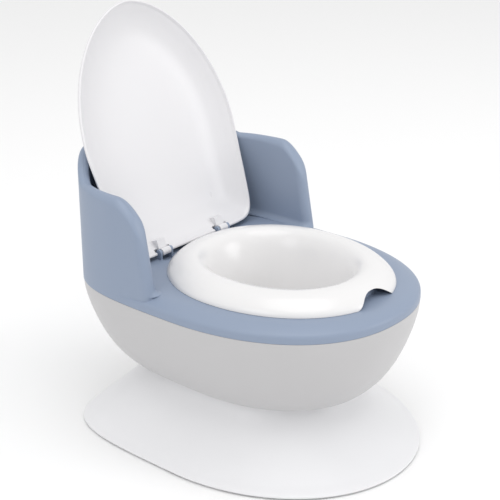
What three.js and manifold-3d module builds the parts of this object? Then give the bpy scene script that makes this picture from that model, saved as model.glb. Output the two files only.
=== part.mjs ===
// A toddler's potty chair shaped like a small toilet: a flared foot, an egg-shaped bowl, a blue seat
// housing with a wrap-around backrest, a lift-out potty and a lid on two hinge pins.
// Millimetres, +Z up, front towards -Y, X = 0 is the plane of symmetry, and the lid stands open.
import * as THREE from "three";
import { mergeVertices } from "three/addons/utils/BufferGeometryUtils.js";
import Module from "manifold-3d";

const wasm = await Module();
wasm.setup();

// ---- Driving dimensions ----------------------------------------------------------------------

const AROUND = 40; // points round each plan outline
const GAP = 0.3; // left between pieces that touch

// Plan outlines: two half superellipses that share a half width. y is the place of the widest line.
const FOOT_EDGE = { half: 154, y: -7.2, front: 185.3, rear: 185.6, frontPower: 2.03, rearPower: 4.4 };
const WAIST = { half: 93, y: -4.6, front: 121.4, rear: 130.2, frontPower: 2.15, rearPower: 3.7 };
const NECK = { half: 88, y: -8, front: 102, rear: 123, frontPower: 2.05, rearPower: 3.7 };
const BORDER = { half: 145.5, y: 6.6, front: 187.3, rear: 173.8, frontPower: 2.24, rearPower: 3.68 };
const SEAT_OPENING = { half: 92, y: -23, front: 112, rear: 95, frontPower: 2.06, rearPower: 2.06 };
const POTTY_SKIRT = { half: 113.6, y: -23, front: 135, rear: 118, frontPower: 2.06, rearPower: 2.06 };
const POTTY_FLOOR = { half: 42, y: -23, front: 58, rear: 46, frontPower: 2.2, rearPower: 2.2 };

// Heights above the floor.
const FOOT_LIP = 2.2;
const WAIST_TOP = 68;
const BOWL_TOP = 172.5;
const SEAT_TOP = 188;
const COLLAR_TOP = 199.5; // a collar round the seat opening, which the potty's rim drops over
const POTTY_BOTTOM = 94;
const POTTY_CREST = 206;

// Walls of the mouldings.
const FOOT_WALL = 3;
const BOWL_WALL = 3;
const SEAT_WALL = 3;
const POTTY_WALL = 2.6;
const LID_WALL = 2.4;

// Backrest and arms: one hollow wall round the rear of the seat.
const WALL_THICK = { arm: 17, back: 12 };
const ARM_TOP = 286;
const BACK_TOP = 315;
const NOSE_Y = 30; // front of each arm at seat level
const NOSE_LEAN = 0.19; // how far the nose leans back for each millimetre of height
const NOSE_TOE_IN = 3; // the noses turn in from the border by this much
const NOSE_CORNER = 41; // radius of the arm's upper front corner, seen from the side
const BACK_RISE = [136, 171]; // the top climbs from arm to backrest between these two places along Y

// Finger notch in the front of the potty's skirt: a low arch with flared feet.
const NOTCH = { half: 31, height: 12, depth: 16 };

// Lid: its own outline is drawn from the hinge (s = 0) to the tip, then turned open about the pins.
const LID = { half: 116.3, s: 118.7, toTip: 160.1, toHinge: 118.7, tipPower: 1.75, hingePower: 10.8 };
const LID_WIDENING = 0.12;
const LID_DEPTH = 22;
const LID_OPEN = THREE.MathUtils.degToRad(110.2);
const LID_FOOT = new THREE.Vector2(95.1, 193.4); // y and z of the rim plane's hinge end, lid open
const PIN_IN_LID = [2, 0.5]; // pin centre: up from the hinge end, and behind the rim plane

// Hinges.
const HINGE_X = 48;
const PIN_RADIUS = 2.4;
const PIN_HALF = 9.2;
const RUNNING = 0.08; // radial play of the pins in their holes
const LUG_HALF = 6.2;
const LUG_RADIUS = 4.3;
const EAR = { inner: 7, outer: 10, radius: 5.2 };
const HINGE_NOTCH = 12; // half width of the notch in the lid's hinge end

// Fasteners and feet.
const SCREW = { shank: 2, head: 4, headHeight: 2.6, hole: 2.5, boss: 6 };
const FOOT_SCREWS = [[-52, -62], [52, -62], [-52, 58], [52, 58]];
const SEAT_SCREW_ANGLES = [-128, -90, -52, 20, 160, 68, 112];
const SEAT_SCREW_INSET = 19;
const PAD = { radius: 11, height: 5 };
const PAD_ANGLES = { front_left: 229, front_right: 311, rear_left: 135, rear_right: 45 };
const PAD_INSET = 22;
const PAD_POST_TOP = 15; // the foot's posts over the pads run up to here
const LUG_HEIGHTS = [145.7, 149.7]; // of the bowl's lugs for the seat screws

const COLOURS = {
  white: { color: 0xf1f1f2, roughness: 0.32, metalness: 0 },
  blue: { color: 0x8fa0b8, roughness: 0.42, metalness: 0 },
  rubber: { color: 0x9a9a9c, roughness: 0.85, metalness: 0 },
  steel: { color: 0xb9bcc0, roughness: 0.35, metalness: 1 },
};

// ---- Geometry helpers ------------------------------------------------------------------------

const power = (value, exponent) => Math.sign(value) * Math.abs(value) ** exponent;
const mix = (a, b, share) => a + (b - a) * share;
const smooth = (share) => {
  const t = Math.min(1, Math.max(0, share));
  return t * t * (3 - 2 * t);
};

// A point of a plan outline at an angle in radians, pulled in by inset.
function planPoint(outline, angle, z, inset = 0) {
  const front = Math.sin(angle) < 0;
  const exponent = 2 / (front ? outline.frontPower : outline.rearPower);
  const length = (front ? outline.front : outline.rear) - inset;
  return new THREE.Vector3(
    (outline.half - inset) * power(Math.cos(angle), exponent),
    outline.y + length * power(Math.sin(angle), exponent),
    z,
  );
}

// An outline part of the way from one to another.
function between(a, b, share) {
  const made = {};
  for (const key of Object.keys(a)) made[key] = mix(a[key], b[key], share);
  return made;
}

// A whole ring of plan points at one height.
function ring(outline, z, inset = 0) {
  return Array.from({ length: AROUND }, (_, i) =>
    planPoint(outline, (i * 2 * Math.PI) / AROUND, z, inset),
  );
}

// The skin through a list of closed sections. A section of one point is a pole, any other open end gets
// a flat cap, and a looped skin joins its last section to its first.
function loft(sections, looped = false) {
  const positions = [];
  const starts = sections.map((section) => {
    const start = positions.length / 3;
    for (const p of section) positions.push(p.x, p.y, p.z);
    return start;
  });
  const index = [];
  const strip = (a, b) => {
    const n = Math.max(sections[a].length, sections[b].length);
    const at = (s, i) => starts[s] + (sections[s].length === 1 ? 0 : i % sections[s].length);
    for (let i = 0; i < n; i++) {
      if (sections[b].length > 1) index.push(at(a, i), at(b, i + 1), at(b, i));
      if (sections[a].length > 1) index.push(at(a, i), at(a, i + 1), at(b, i + 1));
    }
  };
  for (let s = 0; s + 1 < sections.length; s++) strip(s, s + 1);
  if (looped) strip(sections.length - 1, 0);
  const cap = (s, turned) => {
    const shape = sections[s];
    if (looped || shape.length === 1) return;
    const centre = shape.reduce((sum, p) => sum.add(p), new THREE.Vector3()).divideScalar(shape.length);
    const middle = positions.length / 3;
    positions.push(centre.x, centre.y, centre.z);
    for (let i = 0; i < shape.length; i++) {
      const a = starts[s] + i;
      const b = starts[s] + ((i + 1) % shape.length);
      index.push(middle, turned ? b : a, turned ? a : b);
    }
  };
  cap(0, true);
  cap(sections.length - 1, false);
  const geometry = new THREE.BufferGeometry();
  geometry.setAttribute("position", new THREE.Float32BufferAttribute(positions, 3));
  geometry.setIndex(index);
  return geometry;
}

// A closed geometry as a solid with its faces outwards.
function solid(geometry) {
  const bare = geometry.clone();
  bare.deleteAttribute("normal");
  bare.deleteAttribute("uv");
  const merged = mergeVertices(bare, 1e-3);
  const make = (triVerts) =>
    new wasm.Manifold(
      new wasm.Mesh({ numProp: 3, vertProperties: merged.attributes.position.array, triVerts }),
    );
  const triVerts = new Uint32Array(merged.index.array);
  const made = make(triVerts);
  return made.volume() > 0 ? made : make(triVerts.reverse());
}

// A solid back as a three.js geometry.
function geometryOf(made) {
  const mesh = made.getMesh();
  const geometry = new THREE.BufferGeometry();
  geometry.setAttribute("position", new THREE.BufferAttribute(mesh.vertProperties, 3));
  geometry.setIndex(new THREE.BufferAttribute(mesh.triVerts, 1));
  geometry.computeVertexNormals();
  return geometry;
}

// An upright post from one height to another.
function post(x, y, low, high, radius, sides = 20) {
  const geometry = new THREE.CylinderGeometry(radius, radius, high - low, sides);
  geometry.rotateX(Math.PI / 2);
  geometry.translate(x, y, (low + high) / 2);
  return solid(geometry);
}

// A rod along X.
function rod(x, halfLength, y, z, radius, sides = 20) {
  const geometry = new THREE.CylinderGeometry(radius, radius, 2 * halfLength, sides);
  geometry.rotateZ(Math.PI / 2);
  geometry.translate(x, y, z);
  return solid(geometry);
}

function block(low, high) {
  const geometry = new THREE.BoxGeometry(high[0] - low[0], high[1] - low[1], high[2] - low[2]);
  geometry.translate((low[0] + high[0]) / 2, (low[1] + high[1]) / 2, (low[2] + high[2]) / 2);
  return solid(geometry);
}

// A screw standing head down, its head's bearing face at the given height.
function screw(x, y, bearing, length) {
  const { shank, head, headHeight } = SCREW;
  const profile = [
    [0, bearing - headHeight],
    [head * 0.75, bearing - headHeight],
    [head, bearing - headHeight * 0.55],
    [head, bearing],
    [shank, bearing],
    [shank, bearing + length - shank],
    [0.4, bearing + length],
    [0, bearing + length],
  ].map(([r, z]) => new THREE.Vector2(r, z));
  const geometry = new THREE.LatheGeometry(profile, 12);
  geometry.rotateX(Math.PI / 2);
  geometry.translate(x, y, 0);
  return solid(geometry);
}

const seatScrewPlaces = SEAT_SCREW_ANGLES.map((degrees) =>
  planPoint(BORDER, THREE.MathUtils.degToRad(degrees), 0, SEAT_SCREW_INSET),
);
const padPlaces = Object.fromEntries(
  Object.entries(PAD_ANGLES).map(([name, degrees]) => [
    name,
    planPoint(FOOT_EDGE, THREE.MathUtils.degToRad(degrees), 0, PAD_INSET),
  ]),
);

// ---- Pieces ----------------------------------------------------------------------------------

// Height, then the share of the way from the foot's edge to the neck at the front and sides, where the
// flare is shallow, and at the rear, where it is fuller.
const FOOT_PROFILE = [
  [FOOT_LIP, 0, 0], [4, 0, 0], [6.5, 0.06, 0.03], [10, 0.155, 0.085], [15, 0.26, 0.155],
  [20.5, 0.37, 0.25], [27.5, 0.49, 0.365], [34.5, 0.6, 0.47], [43, 0.72, 0.6], [53, 0.86, 0.76],
  [61, 0.95, 0.9], [WAIST_TOP, 1, 1],
];

function footRing([z, frontShare, rearShare], inset, drop) {
  return Array.from({ length: AROUND }, (_, i) => {
    const angle = (i * 2 * Math.PI) / AROUND;
    const rearness = smooth((Math.sin(angle) + 0.2) / 0.8);
    const outline = between(FOOT_EDGE, NECK, mix(frontShare, rearShare, rearness));
    return planPoint(outline, angle, Math.max(FOOT_LIP, z - drop), inset);
  });
}

function pedestalFoot() {
  const outer = FOOT_PROFILE.map((station) => footRing(station, 0, 0));
  const inner = FOOT_PROFILE.map((station) => footRing(station, FOOT_WALL, FOOT_WALL));
  const middle = (z) => [new THREE.Vector3(0, NECK.y, z)];
  // One skin: down the outside from the middle of the top, and up the inside to the middle again.
  let made = solid(
    loft([middle(WAIST_TOP), ...outer.reverse(), ...inner, middle(WAIST_TOP - FOOT_WALL)]),
  );
  const envelope = solid(loft(outer));
  for (const place of Object.values(padPlaces)) {
    const padPost = post(place.x, place.y, PAD.height + GAP, PAD_POST_TOP, PAD.radius);
    made = made.add(padPost.intersect(envelope));
  }
  for (const [x, y] of FOOT_SCREWS) {
    made = made.subtract(post(x, y, WAIST_TOP - 8, WAIST_TOP + 1, SCREW.hole));
  }
  return made;
}

function footPad(place) {
  const profile = [
    [0, 0], [PAD.radius - 1, 0], [PAD.radius - 0.3, 0.7], [PAD.radius - 0.3, PAD.height], [0, PAD.height],
  ].map(([r, z]) => new THREE.Vector2(r, z));
  const geometry = new THREE.LatheGeometry(profile, 20);
  geometry.rotateX(Math.PI / 2);
  geometry.translate(place.x, place.y, 0);
  return solid(geometry);
}

// Share of the way from the seat border to the waist, against height: half an egg.
const BOWL_PROFILE = [
  [0, BOWL_TOP], [0.01, 165], [0.035, 156], [0.1, 142], [0.21, 124], [0.355, 106], [0.535, 90],
  [0.735, 78], [0.9, 72.6], [1, 70.3],
];

function bowlShell() {
  const floor = WAIST_TOP + GAP;
  const bottomHole = { ...WAIST, half: 30, front: 40, rear: 45 };
  const outer = BOWL_PROFILE.map(([share, z]) => ring(between(BORDER, WAIST, share), z));
  const inner = BOWL_PROFILE.map(([share, z]) =>
    ring(between(BORDER, WAIST, share), Math.max(z, floor + BOWL_WALL + 4), BOWL_WALL),
  );
  const sections = [
    ...outer,
    ring(WAIST, WAIST_TOP + 1.2, 1.4),
    ring(WAIST, floor, 4.5),
    ring(bottomHole, floor),
    ring(bottomHole, floor + BOWL_WALL),
    ring(WAIST, floor + BOWL_WALL, 9),
    ...inner.reverse(),
  ];
  let made = solid(loft(sections, true));
  for (const [x, y] of FOOT_SCREWS) {
    made = made
      .add(post(x, y, floor + 1, floor + 16, SCREW.boss))
      .subtract(post(x, y, floor - 1, floor + 13, SCREW.hole));
  }
  const skin = solid(loft([...outer, ring(WAIST, floor, 4.5)]));
  // Lugs inside the rim, which the seat screws pass up through.
  const [low, high] = LUG_HEIGHTS;
  const reach = 9;
  for (const place of seatScrewPlaces) {
    const outward = new THREE.Vector2(place.x, place.y - BORDER.y).normalize().multiplyScalar(11);
    const square = block([-reach, -reach, low], [reach, reach, high]);
    const lug = post(place.x, place.y, low, high, reach)
      .add(square.translate([place.x, place.y, 0]))
      .add(square.translate([place.x + outward.x, place.y + outward.y, 0]))
      .intersect(skin);
    made = made.add(lug).subtract(post(place.x, place.y, low - 2, high + 1, SCREW.hole));
  }
  return made;
}

// Where the backrest wall runs: points along the seat border from the left arm's nose, round the rear,
// to the right arm's nose, each with the outward direction there and its distance from the nearer nose.
function wallPath() {
  const noseAngle = Math.asin(((NOSE_Y - BORDER.y) / BORDER.rear) ** (BORDER.rearPower / 2));
  const fine = 720;
  const points = Array.from({ length: fine + 1 }, (_, i) => {
    const angle = mix(Math.PI - noseAngle, noseAngle, i / fine);
    return planPoint(BORDER, angle, 0);
  });
  const runs = [0];
  for (let i = 1; i <= fine; i++) runs.push(runs[i - 1] + points[i].distanceTo(points[i - 1]));
  const total = runs[fine];
  const at = (run) => {
    let i = runs.findIndex((value) => value >= run);
    i = Math.min(Math.max(i, 1), fine);
    const share = (run - runs[i - 1]) / (runs[i] - runs[i - 1] || 1);
    const point = points[i - 1].clone().lerp(points[i], share);
    const direction = points[i].clone().sub(points[i - 1]).normalize();
    const outward = new THREE.Vector3(-direction.y, direction.x, 0);
    return { point, outward, run: Math.min(run, total - run) };
  };
  return { total, at };
}

// The backrest wall as a sweep of an arch-topped section, its noses rounded in plan and from the side.
// shrink takes that much off every outer face, which makes the wall's own cavity.
function backrestWall(bottom, shrink = 0) {
  const path = wallPath();
  const noseStations = [0.15, 1.2, 3.5, 8, 14, 22, 31, 41, 56];
  const steps = 12;
  const middle = Array.from({ length: steps }, (_, i) => mix(72, path.total / 2, (i + 1) / steps));
  const half = [...noseStations, ...middle];
  const mirrored = half.slice(0, -1).reverse().map((run) => path.total - run);
  const stations = [...half, ...mirrored];
  const sections = stations.map((station) => {
    const along = mix(shrink, path.total - shrink, station / path.total);
    const { point, outward, run: fromNose } = path.at(along);
    const run = Math.max(0.15, fromNose - shrink);
    const thick = mix(WALL_THICK.arm, WALL_THICK.back, smooth((point.y - 70) / 60));
    const radius = thick / 2 - shrink;
    const plan = run < radius ? Math.sqrt(radius ** 2 - (radius - run) ** 2) / radius : 1;
    const corner = run < NOSE_CORNER
      ? NOSE_CORNER - Math.sqrt(NOSE_CORNER ** 2 - (NOSE_CORNER - run) ** 2)
      : 0;
    const rise = smooth((point.y - BACK_RISE[0]) / (BACK_RISE[1] - BACK_RISE[0]));
    const top = mix(ARM_TOP, BACK_TOP, rise) - corner - shrink;
    const halfThick = radius * plan;
    const lean = NOSE_LEAN * (1 - smooth(fromNose / 75));
    const toeIn = NOSE_TOE_IN * (1 - smooth(fromNose / 60));
    const centre = point.clone().addScaledVector(outward, -thick / 2 - 0.2 - toeIn);
    const place = (across, z) => {
      const p = centre.clone().addScaledVector(outward, across);
      return new THREE.Vector3(p.x, p.y + lean * Math.max(0, z - SEAT_TOP), z);
    };
    const section = [place(-halfThick, bottom), place(halfThick, bottom), place(halfThick, SEAT_TOP)];
    const arch = 5;
    for (let i = 0; i <= arch; i++) {
      const turn = (i / arch) * Math.PI;
      section.push(place(Math.cos(turn) * halfThick, top - radius + Math.sin(turn) * radius));
    }
    section.push(place(-halfThick, SEAT_TOP));
    return section;
  });
  return solid(loft(sections));
}

// Share of the way from the border to the seat opening, against height, along the ring's top.
const SEAT_PROFILE = [
  [0, BOWL_TOP + GAP], [0, 177.3], [0.008, 179.4], [0.026, 180.9], [0.1, 183.2], [0.2, 185.4],
  [0.4, SEAT_TOP], [0.9, SEAT_TOP], [0.93, COLLAR_TOP - 1.5], [0.95, COLLAR_TOP],
  [0.985, COLLAR_TOP], [1, COLLAR_TOP - 1.5], [1, 168],
];

function seatRing() {
  const top = SEAT_PROFILE.map(([share, z]) => ring(between(BORDER, SEAT_OPENING, share), z));
  const under = [
    [0.94, 168], [0.94, SEAT_TOP - 4], [0.4, SEAT_TOP - SEAT_WALL], [0.2, 182.3], [0.055, 177.2],
    [0.05, BOWL_TOP + GAP],
  ].map(([share, z]) => ring(between(BORDER, SEAT_OPENING, share), z));
  return solid(loft([...top, ...under], true));
}

// A point of the lid's own side view, s from its hinge end and h behind its rim plane, with the lid open.
const toOpen = (s, h) => {
  const forward = [Math.sin(LID_OPEN - Math.PI / 2), Math.cos(LID_OPEN - Math.PI / 2)];
  const behind = [forward[1], -forward[0]];
  return [LID_FOOT.x + s * forward[0] + h * behind[0], LID_FOOT.y + s * forward[1] + h * behind[1]];
};
const [PIN_Y, PIN_Z] = toOpen(...PIN_IN_LID);

function seatHousing() {
  let made = seatRing().add(backrestWall(BOWL_TOP + GAP));
  made = made.subtract(backrestWall(BOWL_TOP - 12, SEAT_WALL));
  for (const side of [-1, 1]) {
    const x = side * HINGE_X;
    made = made.subtract(
      block([x - EAR.inner, PIN_Y - 9, SEAT_TOP - 2], [x + EAR.inner, PIN_Y + 9, SEAT_TOP + 1]),
    );
    for (const cheek of [-1, 1]) {
      const middle = x + (cheek * (EAR.inner + EAR.outer)) / 2;
      const half = (EAR.outer - EAR.inner) / 2;
      const ear = rod(middle, half, PIN_Y, PIN_Z, EAR.radius, 24).add(
        block(
          [middle - half, PIN_Y - EAR.radius, SEAT_TOP - 2],
          [middle + half, PIN_Y + EAR.radius, PIN_Z],
        ),
      );
      made = made.add(ear);
    }
    made = made.subtract(rod(x, PIN_HALF + GAP, PIN_Y, PIN_Z, PIN_RADIUS + RUNNING));
  }
  for (const place of seatScrewPlaces) {
    made = made
      .add(post(place.x, place.y, 150, SEAT_TOP - SEAT_WALL + 0.5, SCREW.boss))
      .subtract(post(place.x, place.y, 149, 168, SCREW.hole));
  }
  return made;
}

// Inset from the skirt's edge, then the share of the way to the potty's floor, against height.
const POTTY_OUTSIDE = [
  [0, SEAT_TOP + GAP], [1.2, 191.4], [4.5, 195.3], [11, 200.6], [18, 204.4], [27, POTTY_CREST],
  [34, 204.6], [40, 199.6], [46, 189.5], [53, 171], [60, 148],
];

function pottyBowl() {
  const skirt = (inset, z) => {
    const share = inset / 71.6;
    return ring(between(POTTY_SKIRT, POTTY_FLOOR, share), z);
  };
  const top = POTTY_OUTSIDE.map(([inset, z]) => skirt(inset, z));
  const inside = [
    ...top, skirt(65.5, 124), skirt(70.5, 104.5), skirt(78, POTTY_BOTTOM + POTTY_WALL),
  ];
  const under = [
    skirt(80, POTTY_BOTTOM), skirt(68.4, 101.5), skirt(62.8, 122), skirt(57.4, 147), skirt(50.2, 170),
    skirt(43.3, 187.8), skirt(36, 199), skirt(27, 203.3), skirt(19, 201.9), skirt(12.4, 198.2),
    skirt(6.4, 193), skirt(3.2, SEAT_TOP + GAP),
  ];
  const middle = (z) => [new THREE.Vector3(0, POTTY_FLOOR.y, z)];
  // One skin: from the floor's middle up the inside, over the rim, down the outside to the middle again.
  const made = solid(
    loft([middle(POTTY_BOTTOM + POTTY_WALL), ...inside.reverse(), ...under.reverse(), middle(POTTY_BOTTOM)]),
  );
  const arch = new THREE.Shape().moveTo(-NOTCH.half, -8);
  for (let i = 0; i <= 32; i++) {
    const across = i / 16 - 1;
    const rise = Math.max(0, 1 - Math.abs(across) ** 2.4) ** 1.5;
    arch.lineTo(NOTCH.half * across, NOTCH.height * rise - 0.01);
  }
  arch.lineTo(NOTCH.half, -8);
  const notch = new THREE.ExtrudeGeometry(arch, { depth: 60, bevelEnabled: false });
  notch.rotateX(Math.PI / 2);
  const front = POTTY_SKIRT.y - POTTY_SKIRT.front;
  notch.translate(0, front + 30, SEAT_TOP);
  const reach = block([-40, front - 20, 180], [40, front + NOTCH.depth, 210]);
  return made.subtract(solid(notch).intersect(reach));
}

// Inset from the lid's outline, against depth behind the rim plane.
const LID_OUTSIDE = [
  [1.2, 0], [0, 1.2], [0.6, 2.8], [5.5, 6.6], [11, 10.6], [18, 14.6], [27, 18], [40, 20.4], [62, 21.7],
];
const LID_INSIDE = [
  [2.6, 0], [3.6, 2.4], [7.6, 5.4], [13, 9.3], [19.8, 13], [28.4, 16.1], [41, 18.3], [62, 19.4],
];

function lidPoint(angle, inset, depth) {
  const tipwards = Math.sin(angle) >= 0;
  const exponent = 2 / (tipwards ? LID.tipPower : LID.hingePower);
  const length = (tipwards ? LID.toTip : LID.toHinge) - inset;
  const s = LID.s + length * power(Math.sin(angle), exponent);
  const half = (LID.half - inset) * (1 + (LID_WIDENING * (s - LID.s)) / LID.toTip);
  const [y, z] = toOpen(s, depth);
  return new THREE.Vector3(half * power(Math.cos(angle), exponent), y, z);
}

function lidShell() {
  const section = (inset, depth) =>
    Array.from({ length: AROUND }, (_, i) => lidPoint((i * 2 * Math.PI) / AROUND, inset, depth));
  const middle = (depth) => {
    const [y, z] = toOpen(LID.s, depth);
    return [new THREE.Vector3(0, y, z)];
  };
  const outside = LID_OUTSIDE.map(([inset, depth]) => section(inset, depth));
  const inside = LID_INSIDE.map(([inset, depth]) => section(inset, depth));
  return solid(
    loft([middle(LID_DEPTH), ...outside.reverse(), ...inside, middle(LID_DEPTH - LID_WALL)]),
  );
}

// The lid as if it were solid through, which trims what is joined to its inside.
function lidEnvelope() {
  const sections = LID_OUTSIDE.map(([inset, depth]) =>
    Array.from({ length: AROUND }, (_, i) =>
      lidPoint((i * 2 * Math.PI) / AROUND, inset + 0.2, depth),
    ),
  );
  return solid(loft(sections));
}

function lid() {
  let made = lidShell();
  const envelope = lidEnvelope();
  for (const side of [-1, 1]) {
    const x = side * HINGE_X;
    const half = LUG_HALF;
    const clearance = rod(x, HINGE_NOTCH, PIN_Y, PIN_Z, 6.4, 28);
    made = made.subtract(clearance);
    // The lug: a knuckle round the pin with an arm that runs up into the lid's end wall.
    const arm = new THREE.BoxGeometry(2 * half, 16, 12);
    arm.translate(0, 9.5, 8);
    arm.rotateX(-(LID_OPEN - Math.PI / 2));
    arm.translate(x, PIN_Y, PIN_Z);
    made = made
      .add(rod(x, half, PIN_Y, PIN_Z, LUG_RADIUS, 24))
      .add(solid(arm).intersect(envelope))
      .subtract(rod(x, half + 1, PIN_Y, PIN_Z, PIN_RADIUS + RUNNING));
  }
  return made;
}

// ---- Assembly --------------------------------------------------------------------------------

const chair = new THREE.Group();
chair.name = "potty_chair";

function addPiece(name, made, finish) {
  const mesh = new THREE.Mesh(geometryOf(made), new THREE.MeshStandardMaterial(COLOURS[finish]));
  mesh.name = name;
  chair.add(mesh);
}

addPiece("pedestal_foot", pedestalFoot(), "white");
addPiece("bowl_shell", bowlShell(), "white");
addPiece("seat_housing", seatHousing(), "blue");
addPiece("potty_bowl", pottyBowl(), "white");
addPiece("lid", lid(), "white");
for (const [side, name] of [[-1, "left"], [1, "right"]]) {
  addPiece("hinge_pin_" + name, rod(side * HINGE_X, PIN_HALF, PIN_Y, PIN_Z, PIN_RADIUS), "steel");
}
FOOT_SCREWS.forEach(([x, y], i) => {
  addPiece("foot_screw_" + (i + 1), screw(x, y, WAIST_TOP - FOOT_WALL - GAP, 15), "steel");
});
seatScrewPlaces.forEach((place, i) => {
  addPiece("seat_screw_" + (i + 1), screw(place.x, place.y, LUG_HEIGHTS[0] - GAP, 20), "steel");
});
for (const [name, place] of Object.entries(padPlaces)) {
  addPiece("foot_pad_" + name, footPad(place), "rubber");
}

// The origin stands on the floor under the middle of the box that the open chair fills.
const box = new THREE.Box3().setFromObject(chair);
chair.position.y = -(box.min.y + box.max.y) / 2;

export default chair;
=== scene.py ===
"""The fine model of a toddler's potty chair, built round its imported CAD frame.

Everything is in metres, +Z up, with the front of the chair towards -Y.
"""

import math

import bmesh
import bpy
from bpy.props import FloatProperty, FloatVectorProperty, IntProperty, PointerProperty
from mathutils import Matrix, Vector


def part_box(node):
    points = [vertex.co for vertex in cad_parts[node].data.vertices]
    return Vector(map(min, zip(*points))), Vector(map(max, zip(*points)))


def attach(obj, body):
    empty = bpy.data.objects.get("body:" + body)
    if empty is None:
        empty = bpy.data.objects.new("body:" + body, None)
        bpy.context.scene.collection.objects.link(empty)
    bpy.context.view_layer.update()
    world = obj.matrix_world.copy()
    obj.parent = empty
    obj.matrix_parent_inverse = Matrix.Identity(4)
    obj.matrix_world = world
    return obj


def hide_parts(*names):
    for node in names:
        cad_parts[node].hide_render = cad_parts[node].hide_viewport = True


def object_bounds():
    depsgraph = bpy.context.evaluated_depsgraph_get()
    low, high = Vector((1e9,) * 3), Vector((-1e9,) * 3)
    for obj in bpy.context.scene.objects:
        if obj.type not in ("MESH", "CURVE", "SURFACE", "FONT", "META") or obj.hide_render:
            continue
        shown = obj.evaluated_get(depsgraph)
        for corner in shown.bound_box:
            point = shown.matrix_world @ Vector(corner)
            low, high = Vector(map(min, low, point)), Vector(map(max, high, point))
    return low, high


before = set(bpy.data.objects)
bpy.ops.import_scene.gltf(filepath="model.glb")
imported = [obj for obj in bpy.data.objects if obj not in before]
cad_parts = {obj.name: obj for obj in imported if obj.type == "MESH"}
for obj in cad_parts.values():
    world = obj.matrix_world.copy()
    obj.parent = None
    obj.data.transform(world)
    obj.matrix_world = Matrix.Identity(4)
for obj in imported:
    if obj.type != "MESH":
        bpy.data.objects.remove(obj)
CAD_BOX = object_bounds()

bl_info = {
    "name": "Potty chair",
    "version": (1, 0, 0),
    "blender": (4, 5, 0),
    "location": "View3D > Sidebar > Potty chair",
    "description": "Builds a toddler's potty chair and its studio",
    "category": "Object",
}

MM = 0.001

# ---- Plan outlines and heights, in millimetres -------------------------------------------------

# The outlines were drawn about the middle of the seat; this carries them to the frame's origin.
FOOT_FRONT = -192.5
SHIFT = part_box("pedestal_foot")[0].y / MM - FOOT_FRONT

FOOT_EDGE = dict(half=154, y=-7.2, front=185.3, rear=185.6, front_power=2.03, rear_power=4.4)
NECK = dict(half=88, y=-8, front=102, rear=123, front_power=2.05, rear_power=3.7)
CROWN = {**NECK, "half": 6, "front": 8, "rear": 9}  # where the foot's closed top draws together
WAIST = dict(half=93, y=-4.6, front=121.4, rear=130.2, front_power=2.15, rear_power=3.7)
BOWL_HOLE = {**WAIST, "half": 30, "front": 40, "rear": 45}  # lightening hole in the bowl's floor
BORDER = dict(half=145.5, y=6.6, front=187.3, rear=173.8, front_power=2.24, rear_power=3.68)
OPENING = dict(half=92, y=-23, front=112, rear=95, front_power=2.06, rear_power=2.06)
SKIRT = dict(half=113.6, y=-23, front=135, rear=118, front_power=2.06, rear_power=2.06)
POTTY_FLOOR = dict(half=42, y=-23, front=58, rear=46, front_power=2.2, rear_power=2.2)

FOOT_TOP = 68.0
BOWL_TOP = 172.5
SEAT_TOP = 188.0
SHELL_WALL = 3.0  # thickness of the foot, the bowl and the backrest's skin
GAP = 0.3  # clearance between pieces that touch

# Height, then the share of the way from the foot's edge to the neck at the front and at the rear.
FOOT_PROFILE = [
    (2.2, 0, 0), (4, 0, 0), (6.5, 0.06, 0.03), (10, 0.155, 0.085), (15, 0.26, 0.155),
    (20.5, 0.37, 0.25), (27.5, 0.49, 0.365), (34.5, 0.6, 0.47), (43, 0.72, 0.6),
    (53, 0.86, 0.76), (61, 0.95, 0.9), (68, 1, 1),
]
# Share of the way from the seat border to the waist, then the height.
BOWL_PROFILE = [
    (0, 172.5), (0.01, 165), (0.035, 156), (0.1, 142), (0.21, 124), (0.355, 106), (0.535, 90),
    (0.735, 78), (0.9, 72.6), (1, 70.3),
]
# Share of the way from the seat border to the opening, then the height.
SEAT_SIDE = [(0, 172.8), (0, 175), (0, 177.3)]
SEAT_ROLL = [
    (0, 177.3), (0.006, 179.4), (0.028, 181.4), (0.07, 183), (0.13, 184.5), (0.2, 185.9),
    (0.29, 187.2), (0.4, 187.9), (0.6, 188), (0.8, 188), (0.88, 188),
]
# The collar round the opening, which the potty's rim drops over.
SEAT_COLLAR = [
    (0.902, 188.4), (0.91, 190.6), (0.928, 196.9), (0.935, 198.6), (0.95, 199.4), (0.985, 199.4),
    (0.995, 199), (1, 197.8),
]
SEAT_UNDER = [
    (1, 176), (1, 168), (0.94, 168), (0.94, 184), (0.4, 184.9), (0.2, 182.2), (0.07, 178.5),
    (0.05, 176), (0.05, 172.8),
]
# Inset from the skirt's edge, then the height.
POTTY_CREST = [
    (0, 188.3), (0.4, 190), (1.8, 192.6), (5, 196), (11, 200.8), (18, 204.4), (27, 206), (34, 204.6),
    (40, 199.6), (46, 189.5), (53, 171), (60, 148), (65.5, 124), (70.5, 104.5), (75, 98.2), (80, 96.6),
]
POTTY_UNDER = [
    (81, 94), (73, 95.5), (68.4, 101.5), (62.8, 122), (57.4, 147), (50.2, 170), (43.3, 187.8),
    (36, 199), (27, 203.3), (19, 201.9), (12.4, 198.2), (6.4, 193), (3.2, 189.6), (2.8, 188.3),
]
# Finger notch in the potty's skirt.
NOTCH_HALF, NOTCH_HEIGHT, NOTCH_DEPTH = 31.0, 12.0, 16.0
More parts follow.
